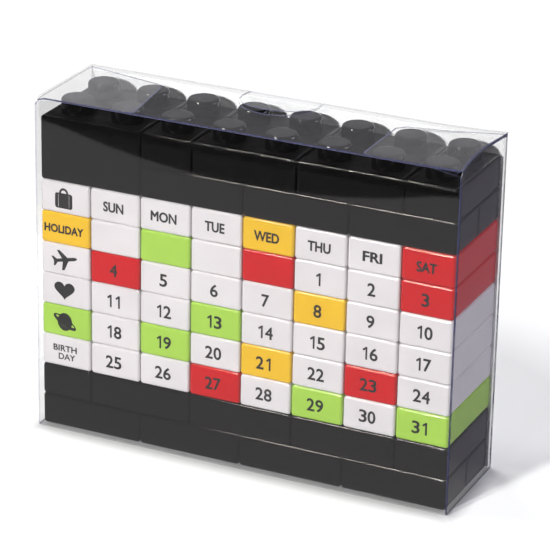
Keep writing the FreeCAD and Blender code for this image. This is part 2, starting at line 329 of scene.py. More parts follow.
class Tree:
    """The nodes of a new material or world, wired up by short calls."""

    def __init__(self, owner, output="ShaderNodeOutputMaterial"):
        self.owner = owner
        owner.use_nodes = True
        self.nodes = owner.node_tree.nodes
        self.links = owner.node_tree.links
        self.nodes.clear()
        self.output = self.nodes.new(output)

    def add(self, kind, settings=None, **inputs):
        """Adds a node. Inputs are values or other nodes' sockets, named with _ for a space."""
        node = self.nodes.new("ShaderNode" + kind)
        for key, value in (settings or {}).items():
            setattr(node, key, value)
        for key, value in inputs.items():
            self.set(node.inputs[key.replace("_", " ")], value)
        return node

    def set(self, socket, value):
        """Wires a socket to another node's, or sets its value."""
        if isinstance(value, bpy.types.NodeSocket):
            self.links.new(value, socket)
        elif hasattr(value, "__len__") and len(value) == 3 and len(socket.default_value) == 4:
            socket.default_value = (*value, 1)
        else:
            socket.default_value = value

    def maths(self, operation, first, second):
        """Works out one number from two."""
        node = self.add("Math", {"operation": operation})
        self.set(node.inputs[0], first)
        self.set(node.inputs[1], second)
        return node.outputs[0]

    def blend(self, share, first, second):
        """Mixes two shaders."""
        node = self.add("MixShader")
        self.set(node.inputs[0], share)
        self.links.new(first, node.inputs[1])
        self.links.new(second, node.inputs[2])
        return node.outputs[0]

    def noise(self, scale, detail=2.0):
        """Noise on the piece's own coordinates, in cells per metre."""
        place = self.add("TexCoord").outputs["Object"]
        return self.add("TexNoise", Vector=place, Scale=scale, Detail=detail).outputs[0]

    def ramp(self, value, start, end, low, high):
        """Runs from one number to another while a value runs from start to end."""
        return self.add("MapRange", Value=value, From_Min=start, From_Max=end, To_Min=low,
                        To_Max=high).outputs[0]

    def spread(self, value, low, high):
        """Stretches a noise between two numbers."""
        return self.ramp(value, 0.3, 0.7, low, high)

    def by_ray(self, eye, mirror, other):
        """One shader for the eye, one for reflections and one for the light on other pieces."""
        path = self.add("LightPath").outputs
        seen = self.maths("MAXIMUM", path["Is Camera Ray"], path["Is Transmission Ray"])
        return self.blend(seen, self.blend(path["Is Glossy Ray"], other, mirror), eye)

    def end(self, surface):
        """Wires the finished shader up."""
        self.links.new(surface, self.output.inputs["Surface"])
        return self.owner


def moulded_plastic(name, tone, roughness, shine):
    """Glossy injection-moulded plastic with faint flow marks and a very slight orange peel."""
    tree = Tree(bpy.data.materials.new(name))
    darker = tuple(channel * 0.94 for channel in tone)
    flow = tree.add("Mix", {"data_type": "RGBA"}, Factor=tree.spread(tree.noise(90), 0.0, 1.0))
    tree.set(flow.inputs[6], tone)
    tree.set(flow.inputs[7], darker)
    peel = tree.add("Bump", Strength=0.015, Distance=0.02 * MM, Height=tree.noise(1400))
    uneven = tree.spread(tree.noise(260, 4.0), roughness * 0.75, roughness * 1.25)
    shader = tree.add("BsdfPrincipled", Base_Color=flow.outputs[2], IOR=1.5,
                      Specular_IOR_Level=shine, Roughness=uneven, Normal=peel.outputs[0])
    return tree.end(shader.outputs[0])


def printing_ink(name, tone):
    """Matt screen-printed ink, slightly uneven in cover."""
    tree = Tree(bpy.data.materials.new(name))
    lighter = tuple(channel * 1.5 for channel in tone)
    cover = tree.add("Mix", {"data_type": "RGBA"}, Factor=tree.spread(tree.noise(2600), 0.0, 1.0))
    tree.set(cover.inputs[6], tone)
    tree.set(cover.inputs[7], lighter)
    shader = tree.add("BsdfPrincipled", Base_Color=cover.outputs[2],
                      Roughness=tree.spread(tree.noise(1800), 0.4, 0.55))
    return tree.end(shader.outputs[0])


def white_card(name, tone):
    """Uncoated white card with short fibres."""
    tree = Tree(bpy.data.materials.new(name))
    fibres = tree.noise(1500, 6.0)
    darker = tuple(channel * 0.9 for channel in tone)
    shade = tree.add("Mix", {"data_type": "RGBA"}, Factor=tree.spread(fibres, 0.0, 1.0))
    tree.set(shade.inputs[6], tone)
    tree.set(shade.inputs[7], darker)
    bump = tree.add("Bump", Strength=0.2, Distance=0.03 * MM, Height=fibres)
    shader = tree.add("BsdfPrincipled", Base_Color=shade.outputs[2], Roughness=0.8,
                      Normal=bump.outputs[0])
    return tree.end(shader.outputs[0])


def clear_film(name, tint, tone, haze, mirror=0.04, rise=0.35):
    """Clear film: it lets most light through, mirrors more at a low angle, and is a little hazy.

    Mirror is the share that it mirrors straight on, rise what that gains at the lowest angle, and
    haze the share of the matt tone. Each face of the film counts once.
    """
    tree = Tree(bpy.data.materials.new(name))
    facing = tree.add("LayerWeight", Blend=0.5).outputs["Facing"]
    rising = tree.maths("POWER", facing, 5.0)
    share = tree.maths("MULTIPLY_ADD", rising, rise)
    tree.set(share.node.inputs[2], mirror)
    waves = tree.add("Bump", Strength=0.1, Distance=0.2 * MM, Height=tree.noise(30, 0.0))
    through = tree.add("BsdfTransparent", Color=tint)
    gloss = tree.add("BsdfGlossy", Color=(1, 1, 1), Roughness=0.03, Normal=waves.outputs[0])
    scuffs = tree.spread(tree.noise(300, 5.0), haze * 0.8, haze * 1.2)
    veil = tree.add("BsdfDiffuse", Color=tone)
    clear = tree.blend(share, through.outputs[0], gloss.outputs[0])
    return tree.end(tree.blend(scuffs, clear, veil.outputs[0]))


def finishes(scene):
    """All materials of the object, made once."""
    tones = scene.calendar_colours
    made = bpy.data.materials
    if "white_plastic_gloss" not in made:
        for tone in ("white", "red", "green", "yellow"):
            moulded_plastic(tone + "_plastic_gloss", tuple(getattr(tones, tone)), 0.12, 0.35)
        moulded_plastic("black_plastic_gloss", tuple(tones.black), 0.06, 0.22)
        moulded_plastic("black_plastic_matt", tuple(tones.black), 0.5, 0.08)
        printing_ink("black_ink", tuple(tones.ink))
        white_card("card_fibre", tuple(tones.card))
        film, lid_film, veil = tuple(tones.film), tuple(tones.lid_film), tuple(tones.veil)
        clear_film("film_panel", film, veil, 0.001)
        clear_film("film_crease", film, tuple(tones.crease), 0.75)
        clear_film("film_cut_edge", film, tuple(tones.cut), 0.45)
        clear_film("film_soft_fold", film, tuple(tones.soft_fold), 0.3)
        clear_film("film_scuffed", lid_film, veil, 0.045, 0.02, 0.1)
        clear_film("film_lid", lid_film, veil, 0.014, 0.02, 0.1)
        clear_film("film_rubbed_fold", film, tuple(tones.cut), 0.4, 0.0, 0.0)
    return made


# Bricks

def rounded_block(name, low, high, edge, steps):
    """A closed block between two corners, with rounded edges."""
    bpy.ops.mesh.primitive_cube_add(size=1, location=(low + high) / 2, scale=high - low)
    item = active_piece(name)
    apply_place(item)
    mesh = edit(item, "EDGE")
    choose(item, mesh, mesh.edges, lambda each: True)
    bpy.ops.mesh.bevel(offset=edge, segments=steps, affect="EDGES", profile=0.5)
    return close(item)


def hollow_out(item, depth, skin, edge):
    """Sinks the block's underside, leaving walls as thick as the skin."""
    mesh = edit(item, "FACE")
    largest = max((face for face in mesh.faces if face.normal.z < -LEVEL),
                  key=lambda face: face.calc_area())
    choose(item, mesh, mesh.faces, lambda face: face is largest)
    bpy.ops.mesh.inset(thickness=skin - edge)
    bpy.ops.mesh.extrude_region_move(TRANSFORM_OT_translate={"value": (0, 0, depth)})
    return close(item)


def pillar(name, radius, low, high, sides, edge=0.0, steps=3):
    """An upright cylinder on a spot, with its top edge rounded if an edge radius is given."""
    middle = Vector((low.x, low.y, (low.z + high) / 2))
    bpy.ops.mesh.primitive_cylinder_add(vertices=sides, radius=radius, depth=high - low.z,
                                        location=middle)
    item = active_piece(name)
    apply_place(item)
    if edge:
        mesh = edit(item, "EDGE")
        rim = high - edge / 2
        choose(item, mesh, mesh.edges, lambda each: all(end.co.z > rim for end in each.verts))
        bpy.ops.mesh.bevel(offset=edge, segments=steps, affect="EDGES", profile=0.5)
        close(item)
    return item


def combine(item, other, operation):
    """Joins another closed shape to an object, or cuts it away, and removes it."""
    apply_modifier(item, "BOOLEAN", object=other, operation=operation, solver="EXACT",
                   use_self=operation == "UNION")
    bpy.data.objects.remove(other)


def model_brick(name, columns, rows, courses, in_view, sizes):
    """One hollow brick at the origin's corner, with its studs, and its pin or tube inside."""
    low = Vector((PLAY / 2, PLAY / 2, 0))
    high = Vector((columns * PITCH - PLAY / 2, rows * PITCH - PLAY / 2, courses * COURSE))
    item = rounded_block(name, low, high, sizes.edge, sizes.edge_steps)
    ceiling = high.z - sizes.roof
    hollow_out(item, ceiling, sizes.skin, sizes.edge)
    bite = sizes.roof / 2
    sides, edge = (VIEW_SIDES, sizes.stud_edge) if in_view else (HIDDEN_SIDES, 0.0)
    additions = [
        pillar("stud", sizes.stud_radius,
               Vector(((column + 0.5) * PITCH, (row + 0.5) * PITCH, high.z - bite)),
               high.z + STUD_RISE, sides, edge, 4)
        for column in range(columns) for row in range(rows)]
    centre = Vector((columns * PITCH / 2, rows * PITCH / 2, 0))
    square = columns == rows
    radius, sides = (sizes.tube_radius, TUBE_SIDES) if square else (sizes.pin_radius, PIN_SIDES)
    additions.append(pillar("grip", radius, centre, ceiling + bite, sides))
    combine(item, join("additions", additions), "UNION")
    if square:
        drill = Vector((centre.x, centre.y, -bite))
        combine(item, pillar("bore", sizes.tube_bore, drill, ceiling, TUBE_SIDES), "DIFFERENCE")
    smooth(item)
    return item


def set_down(master, name, corner):
    """A copy of a brick with its own mesh, moved to the corner of its cell."""
    item = master.copy()
    item.data = master.data.copy()
    item.data.transform(Matrix.Translation(corner))
    bpy.context.collection.objects.link(item)
    item.name = item.data.name = name
    return item


def cell_corner(column, row, low):
    """Corner of a cell of the stud grid, at a height."""
    left = FIRST_LOW.x - PLAY / 2
    front = FIRST_LOW.y - PLAY / 2
    return Vector((left + column * PITCH, front + row * PITCH, low))


def lay_course(node, kinds, places, context):
    """One piece for all the bricks of a black course. Places are (column, row, columns, rows)."""
    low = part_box(node)[0].z
    bricks = [set_down(kinds[columns, rows], "brick", cell_corner(column, row, low))
              for column, row, columns, rows in places]
    item = join(node + "_bricks", bricks)
    paint_black(item, low + COURSE, context)
    return finish(item, "case", [node])


def paint_black(item, top, context):
    """Glossy black plastic, matt between the studs."""
    made = finishes(context.scene)
    paint(item, made["black_plastic_gloss"], made["black_plastic_matt"])
    matt = 1
    give_material(item, matt, lambda face: face.normal.z > LEVEL and near(face.center.z, top))


class CALENDAR_OT_base(bpy.types.Operator):
    """Two black courses under the dates"""
    bl_idname = "calendar.base"
    bl_label = "Base courses"

    def execute(self, context):
        sizes = context.scene.calendar_bricks
        kinds = {key: model_brick("kind", *key, 1, False, sizes)
                 for key in ((2, 1), (1, 2), (2, 2))}
        lay_course("base_course_lower", kinds,
                   [(column, row, 2, 1) for column in (0, 2, 4, 6) for row in (0, 1)], context)
        lay_course("base_course_upper", kinds,
                   [(0, 0, 1, 2), (1, 0, 2, 2), (3, 0, 2, 2), (5, 0, 2, 2), (7, 0, 1, 2)],
                   context)
        for kind in kinds.values():
            bpy.data.objects.remove(kind)
        return {"FINISHED"}


class CALENDAR_OT_crown(bpy.types.Operator):
    """Two black courses over the dates, and the tall block at the left"""
    bl_idname = "calendar.crown"
    bl_label = "Crown courses"

    def execute(self, context):
        sizes = context.scene.calendar_bricks
        kinds = {(2, 1): model_brick("kind", 2, 1, 1, False, sizes),
                 (1, 2): model_brick("kind", 1, 2, 1, True, sizes),
                 (2, 2): model_brick("kind", 2, 2, 1, True, sizes)}
        lay_course("crown_course_lower", kinds,
                   [(column, row, 2, 1) for column in (2, 4, 6) for row in (0, 1)], context)
        lay_course("crown_course_upper", kinds,
                   [(2, 0, 1, 2), (3, 0, 2, 2), (5, 0, 2, 2), (7, 0, 1, 2)], context)
        tall = model_brick("tall", 2, 2, 2, True, sizes)
        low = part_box("corner_block")[0].z
        corner = set_down(tall, "corner_block_brick", cell_corner(0, 0, low))
        paint_black(corner, STACK_TOP - STUD_RISE, context)
        finish(corner, "case", ["corner_block"])
        for kind in (tall, *kinds.values()):
            bpy.data.objects.remove(kind)
        return {"FINISHED"}


def date_bricks():
    """Names of the bricks of the month sheet, one course after another from the top."""
    days = [day + "_brick" for day in WEEKDAYS]
    days += ["blank_brick_%d" % number for number in range(1, BLANKS + 1)]
    days += ["day_brick_%02d" % number for number in range(1, DAYS + 1)]
    return [left + "_brick" for left in LEFT_COLUMN] + days


def brick_tone(node):
    """The colour of a brick of the month sheet."""
    for tone, members in (("red", RED), ("green", GREEN), ("yellow", YELLOW)):
        if node in members:
            return tone
    return "white"


class CALENDAR_OT_dates(bpy.types.Operator):
    """Forty-eight coloured bricks that carry the weekdays, days and pictures"""
    bl_idname = "calendar.dates"
    bl_label = "Date bricks"

    def execute(self, context):
        kind = model_brick("kind", 1, 2, 1, False, context.scene.calendar_bricks)
        for node in date_bricks():
            tone = brick_tone(node)
            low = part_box(node)[0]
            corner = low - Vector((PLAY / 2, PLAY / 2, 0))
            item = set_down(kind, node + "_moulding", corner)
            paint(item, finishes(context.scene)[tone + "_plastic_gloss"])
            finish(item, "case", [node])
        bpy.data.objects.remove(kind)
        return {"FINISHED"}


# Prints

def face_centre(node):
    """Middle of the print on a brick's front face."""
    low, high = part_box(node)
    shift = bpy.context.scene.calendar_prints.shift
    return Vector(((low.x + high.x) / 2 - shift, low.y, low.z + COURSE / 2))


def fit_print(item, centre, width, height, ink):
    """Stands a flat mesh up on a brick's face, as wide and high as given, and centred there."""
    corners = [item.matrix_world @ vertex.co for vertex in item.data.vertices]
    low = Vector([min(point[axis] for point in corners) for axis in range(3)])
    high = Vector([max(point[axis] for point in corners) for axis in range(3)])
    span = high - low
    tall = height / span.y
    wide = width / span.x if width else tall
    to_middle = Matrix.Translation(-(low + high) / 2)
    shrink = Matrix.Diagonal((wide, tall, ink / span.z, 1))
    stand = Matrix.Rotation(math.radians(90), 4, "X")
    to_face = Matrix.Translation(centre - Vector((0, ink / 2, 0)))
    item.data.transform(to_face @ stand @ shrink @ to_middle)


def embolden(item, weight):
    """Closes a flat mesh's walls onto its faces and swells it sideways."""
    edit(item, "FACE")
    bpy.ops.mesh.select_all(action="SELECT")
    bpy.ops.mesh.remove_doubles(threshold=0.0005)
    bpy.ops.mesh.normals_make_consistent(inside=False)
    close(item)
    if weight:
        walls = [polygon for polygon in item.data.polygons if abs(polygon.normal.z) < 0.5]
        outward = {}
        for polygon in walls:
            for index in polygon.vertices:
                outward.setdefault(index, []).append(polygon.normal)
        for index, normals in outward.items():
            middle = sum(normals, Vector()).normalized()
            reach = max(0.5, middle.dot(normals[0]))
            item.data.vertices[index].co += middle * (weight / reach)
    return item


def word_mesh(words, weight, narrow=1.0):
    """Letters as a closed flat mesh at the origin, made narrower by a share."""
    bpy.ops.object.text_add()
    item = active_piece("word")
    item.data.body = words
    item.data.extrude = 0.05
    item.data.resolution_u = 4
    select_only(item)
    bpy.ops.object.convert(target="MESH")
    item = active_piece("word")
    item.data.transform(Matrix.Diagonal((narrow, 1, 1, 1)))
    return embolden(item, weight)


def figure_one(weight):
    """The digit 1 with a flag, drawn to the size of the other digits."""
    stem, flag, top, width = 0.22, 0.02, 0.69, 0.085
    outline = [(stem, 0), (stem + width, 0), (stem + width, top), (stem + 0.01, top),
               (flag, top - 0.14), (flag + 0.035, top - 0.2), (stem, top - 0.105)]
    return embolden(flat_shape([outline]), weight)


def stamp(node, pieces, context):
    """Finishes the print of one brick."""
    item = join(node.replace("_brick", "") + "_print", pieces)
    paint(item, finishes(context.scene)["black_ink"])
    return finish(item, "case")


class CALENDAR_OT_numbers(bpy.types.Operator):
    """Day numbers and weekdays printed on the bricks"""
    bl_idname = "calendar.numbers"
    bl_label = "Numbers and weekdays"

    def execute(self, context):
        sizes = context.scene.calendar_prints
        for number in range(1, DAYS + 1):
            node = "day_brick_%02d" % number
            centre = face_centre(node)
            digits = []
            shown = str(number)
            for place, digit in enumerate(shown):
                one = digit == "1"
                item = figure_one(sizes.weight) if one else word_mesh(digit, sizes.weight)
                shift = (place - (len(shown) - 1) / 2) * sizes.digit_step
                width = sizes.one_width if one else sizes.digit_width
                fit_print(item, centre + Vector((shift, 0, 0)), width, sizes.digit, sizes.ink)
                digits.append(item)
            stamp(node, digits, context)
        for day in WEEKDAYS:
            node = day + "_brick"
            item = word_mesh(day.upper(), sizes.word_weight, narrow=0.8)
            fit_print(item, face_centre(node), WEEKDAYS[day] * MM, sizes.weekday, sizes.ink)
            stamp(node, [item], context)
        return {"FINISHED"}


class CALENDAR_OT_words(bpy.types.Operator):
    """The two word bricks of the left column"""
    bl_idname = "calendar.words"
    bl_label = "Words"

    def execute(self, context):
        sizes = context.scene.calendar_prints
        for name, lines in WORDS.items():
            node = name + "_brick"
            pieces = []
            for letters, narrow, share, (width, height), (right, above) in lines:
                item = word_mesh(letters, sizes.word_weight * share, narrow)
                centre = face_centre(node) + Vector((right, 0, above)) * MM
                fit_print(item, centre, width * MM, height * MM, sizes.ink)
                pieces.append(item)
            stamp(node, pieces, context)
        return {"FINISHED"}


def flat_shape(outlines):
    """A flat closed mesh from lists of points. An outline inside another is a hole."""
    curve = bpy.data.curves.new("shape", "CURVE")
    curve.dimensions = "2D"
    curve.fill_mode = "BOTH"
    curve.extrude = 0.05
    for outline in outlines:
        spline = curve.splines.new("POLY")
        spline.points.add(len(outline) - 1)
        for point, (x, y) in zip(spline.points, outline):
            point.co = (x, y, 0, 1)
        spline.use_cyclic_u = True
    item = bpy.data.objects.new("shape", curve)
    bpy.context.collection.objects.link(item)
    select_only(item)
    bpy.ops.object.convert(target="MESH")
    return active_piece("shape")


def arc(centre, radius, start, end, steps=16, squash=1.0):
    """Points along an arc, in degrees, flattened upright by a share."""
    angles = [math.radians(start + (end - start) * step / steps) for step in range(steps + 1)]
    return [(centre[0] + radius * math.cos(angle), centre[1] + radius * squash * math.sin(angle))
            for angle in angles]


def rounded_rectangle(centre, width, height, radius):
    """Outline of a rectangle with round corners."""
    points = []
    for turn, (side, level) in enumerate(((1, 1), (-1, 1), (-1, -1), (1, -1))):
        spot = (centre[0] + side * (width / 2 - radius), centre[1] + level * (height / 2 - radius))
        points += arc(spot, radius, turn * 90, turn * 90 + 90, 5)
    return points


def turned(points, degrees):
    """Points turned about the origin."""
    cosine, sine = math.cos(math.radians(degrees)), math.sin(math.radians(degrees))
    return [(x * cosine - y * sine, x * sine + y * cosine) for x, y in points]


def travel_case():
    """A case with a round handle and two straps."""
    body = rounded_rectangle((0, 0), 10, 7.6, 1.2)
    straps = [rounded_rectangle((x, 0), 0.2, 6.4, 0.09) for x in (-3.1, 3.1)]
    handle = arc((0, 3.8), 2.6, 0, 180, 14) + arc((0, 3.8), 1.5, 180, 0, 12)
    return [flat_shape([body, *straps]), flat_shape([handle])]


def aeroplane():
    """An aeroplane seen from above, nose to the right."""
    half = [(8.0, 0.0), (7.2, 0.8), (5.6, 1.1), (2.2, 1.1), (-1.6, 6.4), (-3.2, 6.4), (-1.4, 1.1),
            (-4.6, 1.0), (-6.4, 3.0), (-7.6, 3.0), (-6.8, 0.7)]
    mirrored = [(x, -y) for x, y in reversed(half[1:])]
    return [flat_shape([turned(half + mirrored, 14)])]


def heart():
    """A plain heart."""
    steps = 40
    points = []
    for step in range(steps):
        angle = 2 * math.pi * step / steps
        points.append((16 * math.sin(angle) ** 3,
                       13 * math.cos(angle) - 5 * math.cos(2 * angle)
                       - 2 * math.cos(3 * angle) - math.cos(4 * angle)))
    return [flat_shape([points])]


def ringed_planet():
    """A ball with a tilted ring that passes in front of it."""
    tilt = -24
    upper = turned(arc((0, 0), 5, 8, 172, 20), tilt)
    gap = turned(arc((0, 0.9), 6.2, 180, 360, 20, 0.32)[4:-4], tilt)
    lower = turned(arc((0, 0), 5, 200, 340, 20), tilt)
    under = turned(arc((0, -0.75), 6.2, 360, 180, 20, 0.30)[4:-4], tilt)
    ring = arc((0, 0), 8.4, 0, 360, 36, 0.30)[:-1]
    hole = arc((0, 0.5), 6.9, 0, 360, 36, 0.14)[:-1]
    ball_top = flat_shape([upper + gap])
    ball_bottom = flat_shape([lower + under])
    band = flat_shape([turned(ring, tilt), turned(hole, tilt)])
    return [ball_top, ball_bottom, band]


class CALENDAR_OT_pictures(bpy.types.Operator):
    """The four small pictures of the left column"""
    bl_idname = "calendar.pictures"
    bl_label = "Pictures"

    def execute(self, context):
        ink = context.scene.calendar_prints.ink
        for name, shapes, width, height in (
                ("suitcase", travel_case(), 5.6 * MM, 6.2 * MM),
                ("plane", aeroplane(), 8.5 * MM, 6.2 * MM),
                ("heart", heart(), 6.7 * MM, 5.5 * MM),
                ("planet", ringed_planet(), 7.4 * MM, 5.6 * MM)):
            node = name + "_brick"
            item = join("picture", shapes)
            fit_print(item, face_centre(node), width, height, ink)
            stamp(node, [item], context)
        return {"FINISHED"}


# Film case

def near(first, second):
    """Whether two lengths are the same, as far as a mesh can hold them."""
    return abs(first - second) < 0.01 * MM


def slanting(face):
    """Whether a face lies square to none of the axes."""
    return max(abs(part) for part in face.normal) < LEVEL


def give_material(item, index, test):
    """Gives the faces whose centre passes a test another of the object's materials."""
    for polygon in item.data.polygons:
        if test(polygon):
            polygon.material_index = index


def film_sheet(item, thickness, rim=CUT_EDGE):
    """Thickens a sheet. Rim is the surface that its cut edges take."""
    apply_modifier(item, "SOLIDIFY", thickness=thickness, offset=-1.0, use_even_offset=True,
                   use_rim=True, material_offset_rim=rim)


def film_finish(item, context):
    """Gives a piece of film all surfaces of the film. New faces are the plain panel."""
    made = finishes(context.scene)
    paint(item, *[made["film_" + surface] for surface in FILM_SURFACES])


def flat_sheet(name, low, high, columns, rows, context, upright=False):
    """A sheet of film between two corners, divided for bending, with no thickness yet."""
    centre = (low + high) / 2
    bpy.ops.mesh.primitive_grid_add(x_subdivisions=columns, y_subdivisions=rows, size=1)
    item = active_piece(name)
    if upright:
        item.scale = (high.x - low.x, high.z - low.z, 1)
        item.rotation_euler.x = math.radians(90)
        item.location = (centre.x, low.y, centre.z)
    else:
        item.scale = (high.x - low.x, high.y - low.y, 1)
        item.location = (centre.x, centre.y, high.z)
    apply_place(item)
    film_finish(item, context)
    return item


def slit(item, place, normal, drop=False):
    """Draws a line across a sheet, and takes away what lies beyond it if asked."""
    edit(item, "FACE")
    bpy.ops.mesh.select_all(action="SELECT")
    bpy.ops.mesh.bisect(plane_co=place, plane_no=normal, clear_outer=drop)
    return close(item)


def cut_corner(item, corner, outward, radius, cuts):
    """Cuts a corner of a flat sheet off, or rounds it by several straight cuts.

    Outward are the directions in which its two sides face.
    """
    first, second = (Vector(direction) for direction in outward)
    centre = Vector(corner) - radius * (first + second)
    reach = radius if cuts > 1 else radius * math.sqrt(0.5)
    for cut in range(cuts):
        angle = math.radians(90) * (cut + 0.5) / cuts
        normal = math.cos(angle) * first + math.sin(angle) * second
        slit(item, centre + reach * normal, normal, drop=True)
    return item


def share_of(value, low, high):
    """Where a value lies between two others, from 0 to 1."""
    return min(1.0, max(0.0, (value - low) / (high - low)))


def lid_spring(x, y, sizes):
    """How far the film at the top of the case stands off flat, at a point of its plan."""
    arch_start = 0.62 * LID_HIGH.x
    right = share_of(x, arch_start, LID_HIGH.x) ** 2
    back = share_of(y, LID_LOW.y, LID_HIGH.y)
    arch = math.sin(math.pi * back ** LEAN)
    corner = math.hypot(x - LID_LOW.x, y - LID_LOW.y)
    pressed = (1 - share_of(corner, 0, sizes.dip_left)) ** 2
    return right * (sizes.lid_rise * arch + sizes.corner_rise * back) - sizes.lid_sag * pressed


class CALENDAR_OT_case(bpy.types.Operator):
    """Four walls and floor of the clear case, with the glued seam and the lid's tongue"""
    bl_idname = "calendar.case"
    bl_label = "Clear case"

    def execute(self, context):
        sizes = context.scene.calendar_case
        walls = self.walls(context, sizes)
        self.bend(walls, sizes)
        film_sheet(walls, sizes.film)
        seam_low = Vector((CASE_LOW.x + sizes.film, CASE_HIGH.y - 2 * sizes.film, CARD_LOW.z))
        seam_high = Vector((seam_low.x + sizes.seam, CASE_HIGH.y - sizes.film, CARD_HIGH.z))
        seam = rounded_block("seam", seam_low, seam_high, 0.05 * MM, 1)
        film_finish(seam, context)
        item = join("film_case", [walls, seam, self.tongue(context, sizes)])
        smooth(item, 40)
        finish(item, "case", ["case_shell"])
        return {"FINISHED"}

    def walls(self, context, sizes):
        """The open box, with its upright folds rounded and lines for the bends at its top."""
        bpy.ops.mesh.primitive_cube_add(size=1, location=(CASE_LOW + CASE_HIGH) / 2,
                                        scale=CASE_HIGH - CASE_LOW)
        walls = active_piece("film_case")
        apply_place(walls)
        film_finish(walls, context)
        mesh = edit(walls, "FACE")
        choose(walls, mesh, mesh.faces, lambda face: face.normal.z > 0.5)
        bpy.ops.mesh.delete(type="FACE")
        bpy.ops.mesh.select_all(action="SELECT")
        bpy.ops.mesh.subdivide(number_cuts=15)
        bpy.ops.mesh.select_mode(type="EDGE")
        bpy.ops.mesh.select_all(action="DESELECT")
        mesh = bmesh.from_edit_mesh(walls.data)
        sharp = 1.0
        choose(walls, mesh, mesh.edges, lambda edge: len(edge.link_faces) == 2
               and edge.calc_face_angle() > sharp)
        bpy.ops.mesh.bevel(offset=sizes.fold, segments=3, affect="EDGES", profile=0.5)
        close(walls)
        lines = 6
        for line in range(lines):
            height = CASE_HIGH.z - sizes.crease - sizes.side_bend * line / lines
            slit(walls, (0, 0, height), (0, 0, 1))
        give_material(walls, SOFT_FOLD, slanting)
        give_material(walls, RUBBED_FOLD, lambda face: slanting(face)
                      and face.center.x < CASE_LOW.x + sizes.fold and face.center.y < 0)
        give_material(walls, CREASE, lambda face: slanting(face)
                      and face.center.x > CASE_HIGH.x - sizes.fold)
        give_material(walls, CREASE, lambda face: face.normal.x > 0.5
                      and face.center.z > CASE_HIGH.z - sizes.crease)
        give_material(walls, SOFT_FOLD, lambda face: face.normal.y < -0.5
                      and face.center.z < sizes.fold)
        return walls

    def bend(self, walls, sizes):
        """Swells the large walls, draws in the right wall's top and shapes the cut edge."""
        middle = CASE_HIGH.z / 2
        for vertex in walls.data.vertices:
            x, y, z = vertex.co
            if near(abs(y), CASE_HIGH.y):
                swell = max(0.0, 1 - ((z - middle) / middle) ** 2)
                across = max(0.0, 1 - (x / (CASE_HIGH.x - sizes.fold)) ** 2)
                vertex.co.y += math.copysign(sizes.wall_bow * swell * across, y)
            rising = share_of(z, CASE_HIGH.z - sizes.side_bend, CASE_HIGH.z)
            if x > CASE_HIGH.x - sizes.fold / 2:
                vertex.co.x -= side_pull(y, sizes) * rising ** 2
            vertex.co.z += (self.rim(x, y, sizes) - CASE_HIGH.z) * rising

    def rim(self, x, y, sizes):
        """Height of the walls' cut edge at a point of its plan."""
        inward = 3 * MM
        high = CASE_HIGH.z
        if y > CASE_HIGH.y - sizes.fold:
            return LID_LOW.z + lid_spring(x, y, sizes)
        length_of_dip = sizes.dip_right if x > 0 else sizes.dip_left
        away = math.hypot(abs(x) - CASE_HIGH.x, y - CASE_LOW.y)
        dip = sizes.corner_dip * (1 - share_of(away, 0, length_of_dip)) ** 2
        if y > CASE_LOW.y + sizes.fold / 2:
            high += (DUST_LOW.z - high) * share_of(y, CASE_LOW.y, CASE_LOW.y + inward)
            high += lid_spring(x, y, sizes)
        return high - dip

    def tongue(self, context, sizes):
        """Half disc that stays with the back wall when the lid opens."""
        centre = Vector((-sizes.moon_shift, LID_HIGH.y - sizes.moon_depth, LID_LOW.z))
        reach = Vector((1, 1, 0)) * (sizes.moon + sizes.film)
        high = centre + reach
        high.y, high.z = LID_HIGH.y, LID_HIGH.z
        item = flat_sheet("tongue", centre - reach, high, 16, 12, context)
        film_sheet(item, sizes.film)
        combine(item, self.disc(centre, sizes.moon, context), "INTERSECT")
        for vertex in item.data.vertices:
            forward = share_of(vertex.co.y, LID_HIGH.y, centre.y - sizes.moon)
            vertex.co.z += sizes.moon_lift * forward ** 2
        give_material(item, SCUFFED, lambda face: face.material_index == PANEL)
        give_material(item, SOFT_FOLD, lambda face: near(face.center.y, LID_HIGH.y))
        return item

    @staticmethod
    def disc(centre, radius, context):
        """A cutter for the tongue or its opening in the lid."""
        bpy.ops.mesh.primitive_cylinder_add(vertices=72, radius=radius, depth=10 * MM,
                                            location=centre)
        item = active_piece("cutter")
        apply_place(item)
        film_finish(item, context)
        give_material(item, CUT_EDGE, lambda face: abs(face.normal.z) < 0.5)
        return item


def side_pull(y, sizes):
    """How far the right wall's top edge is drawn in, along the depth of the case."""
    return sizes.side_pull * math.sin(math.pi * share_of(y, CASE_LOW.y, CASE_HIGH.y) ** LEAN)


